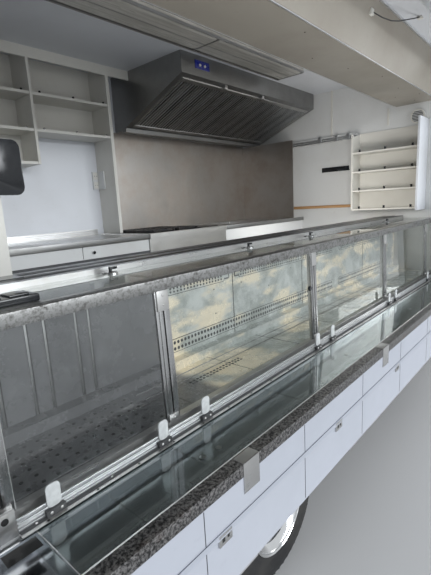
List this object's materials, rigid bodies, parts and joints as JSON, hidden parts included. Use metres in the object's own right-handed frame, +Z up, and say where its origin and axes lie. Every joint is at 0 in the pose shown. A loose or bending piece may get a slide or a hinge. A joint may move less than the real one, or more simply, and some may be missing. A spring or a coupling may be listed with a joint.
{
  "type": "food truck",
  "caption": "Food truck with a box body, an open serving side with a glass display case, a kitchen with a hood, and a light cab.",
  "frame": {"origin": "on the ground, under the middle of the whole box with the serving flap open", "axes": "+X is the way the truck drives, +Y is its left side, +Z is up; the serving side faces -Y"},
  "size_m": [6.8488, 4.4, 3.0177],
  "materials": {
    "chassis_black": "satin black paint",
    "body_white": "white gel coat",
    "inner_white": "off-white wall panel",
    "floor_grey": "grey anti-slip floor",
    "steel": "brushed stainless steel",
    "alloy": "anodised profile",
    "case_glass": "clear, slightly green",
    "window_glass": "tinted",
    "cab_paint": "gloss white",
    "bumper_plastic": "grained black",
    "lamp": "clear lens",
    "seat_fabric": "woven grey",
    "dash_plastic": "soft grained",
    "engine_iron": "plain casting",
    "axle_iron": "black paint on iron",
    "tyre": "worn rubber with a bright wheel",
    "tank_plastic": "moulded black",
    "light_diffuser": "opal",
    "screen_black": "black glass-like front"
  },
  "bodies": {
    "body": {"chassis_frame": "chassis_black", "body_floor": "floor_grey", "left_wall": "body_white", "rear_wall": "body_white", "front_wall": "inner_white", "roof": "body_white", "side_frame": "alloy", "side_skirt": "body_white", "ledge_tray": "steel", "glass_shelf": "case_glass", "case_cabinet": "steel", "case_ducts": "steel", "case_frame": "steel", "case_glass": "case_glass", "case_top": "case_glass", "rear_counter": "inner_white", "worktop": "steel", "stove": "steel", "splash_panels": "steel", "hood": "steel", "shelf_unit": "inner_white", "plate_rack": "inner_white", "wall_fittings": "inner_white", "order_screen": "screen_black", "ceiling_beam": "inner_white", "ceiling_light": "light_diffuser", "cab_shell": "cab_paint", "windscreen": "window_glass", "wings": "cab_paint", "grille": "bumper_plastic", "lamps": "lamp", "bumpers": "bumper_plastic", "seats": "seat_fabric", "dashboard": "dash_plastic", "engine_block": "engine_iron", "front_axle": "axle_iron", "rear_axle": "axle_iron", "water_tank": "tank_plastic"},
    "serving_flap": {"serving_flap": "body_white"},
    "rear_door": {"rear_door": "body_white"},
    "cab_door_left": {"cab_door_left": "cab_paint", "door_glass_left": "window_glass"},
    "cab_door_right": {"cab_door_right": "cab_paint", "door_glass_right": "window_glass"},
    "bonnet": {"bonnet": "cab_paint"},
    "drawer_rear": {"drawer_rear": "inner_white"},
    "drawer_front": {"drawer_front": "inner_white"},
    "strut_tube_rear": {"strut_tube_rear": "chassis_black"},
    "strut_tube_front": {"strut_tube_front": "chassis_black"},
    "strut_rod_rear": {"strut_rod_rear": "steel"},
    "strut_rod_front": {"strut_rod_front": "steel"},
    "knuckle_left": {"knuckle_left": "axle_iron"},
    "knuckle_right": {"knuckle_right": "axle_iron"},
    "wheel_rear_left": {"wheel_rear_left": "tyre"},
    "wheel_rear_right": {"wheel_rear_right": "tyre"},
    "wheel_front_left": {"wheel_front_left": "tyre"},
    "wheel_front_right": {"wheel_front_right": "tyre"}
  },
  "joints": [
    {"name": "flap_hinge", "type": "hinge", "parent": "body", "child": "serving_flap", "pos_m": [-1.58941, -0.29695, 2.795], "axis": [1, 0, 0], "range_deg": [0, 96]},
    {"name": "rear_door_hinge", "type": "hinge", "parent": "body", "child": "rear_door", "pos_m": [-3.18641, 1.35205, 1.5], "axis": [0, 0, 1], "range_deg": [-105, 0]},
    {"name": "cab_door_left_hinge", "type": "hinge", "parent": "body", "child": "cab_door_left", "pos_m": [2.42459, 1.96405, 1.2], "axis": [0, 0, 1], "range_deg": [-65, 0]},
    {"name": "cab_door_right_hinge", "type": "hinge", "parent": "body", "child": "cab_door_right", "pos_m": [2.42459, -0.06395, 1.2], "axis": [0, 0, 1], "range_deg": [0, 65]},
    {"name": "bonnet_hinge", "type": "hinge", "parent": "body", "child": "bonnet", "pos_m": [2.92709, 0.95005, 1.27699], "axis": [0, -1, 0], "range_deg": [0, 55]},
    {"name": "steer_left", "type": "hinge", "parent": "body", "child": "knuckle_left", "pos_m": [2.51059, 1.69805, 0.317], "axis": [0, 0, 1], "range_deg": [-35, 35]},
    {"name": "steer_right", "type": "hinge", "parent": "body", "child": "knuckle_right", "pos_m": [2.51059, 0.20205, 0.317], "axis": [0, 0, 1], "range_deg": [-35, 35]},
    {"name": "strut_pivot_rear", "type": "hinge", "parent": "body", "child": "strut_tube_rear", "pos_m": [-3.05541, -0.24095, 1.505], "axis": [1, 0, 0], "range_deg": [-15.14, 0]},
    {"name": "strut_slide_rear", "type": "slide", "parent": "strut_tube_rear", "child": "strut_rod_rear", "axis": [0, -0.2382, 0.9712], "range_m": [-0.22237, 0]},
    {"name": "strut_pivot_front", "type": "hinge", "parent": "body", "child": "strut_tube_front", "pos_m": [1.31659, -0.24095, 1.505], "axis": [1, 0, 0], "range_deg": [-15.14, 0]},
    {"name": "strut_slide_front", "type": "slide", "parent": "strut_tube_front", "child": "strut_rod_front", "axis": [0, -0.2382, 0.9712], "range_m": [-0.22237, 0]},
    {"name": "drawer_rear_slide", "type": "slide", "parent": "body", "child": "drawer_rear", "axis": [0, -1, 0], "range_m": [0, 0.4]},
    {"name": "drawer_front_slide", "type": "slide", "parent": "body", "child": "drawer_front", "axis": [0, -1, 0], "range_m": [0, 0.4]},
    {"name": "wheel_rear_left_spin", "type": "hinge", "parent": "body", "child": "wheel_rear_left", "pos_m": [-1.58941, 1.89455, 0.317], "axis": [0, 1, 0], "continuous": true},
    {"name": "wheel_front_left_spin", "type": "hinge", "parent": "knuckle_left", "child": "wheel_front_left", "pos_m": [2.51059, 1.82005, 0.317], "axis": [0, 1, 0], "continuous": true},
    {"name": "wheel_rear_right_spin", "type": "hinge", "parent": "body", "child": "wheel_rear_right", "pos_m": [-1.58941, 0.00555, 0.317], "axis": [0, 1, 0], "continuous": true},
    {"name": "wheel_front_right_spin", "type": "hinge", "parent": "knuckle_right", "child": "wheel_front_right", "pos_m": [2.51059, 0.08005, 0.317], "axis": [0, 1, 0], "continuous": true}
  ],
  "couplings": [
    {"joint": "steer_right", "follows": "steer_left", "ratio": 1},
    {"joint": "strut_pivot_rear", "follows": "flap_hinge", "ratio": -0.1572},
    {"joint": "strut_slide_rear", "follows": "flap_hinge", "m_per_rad": -0.13242},
    {"joint": "strut_pivot_front", "follows": "flap_hinge", "ratio": -0.1572},
    {"joint": "strut_slide_front", "follows": "flap_hinge", "m_per_rad": -0.13242}
  ]
}
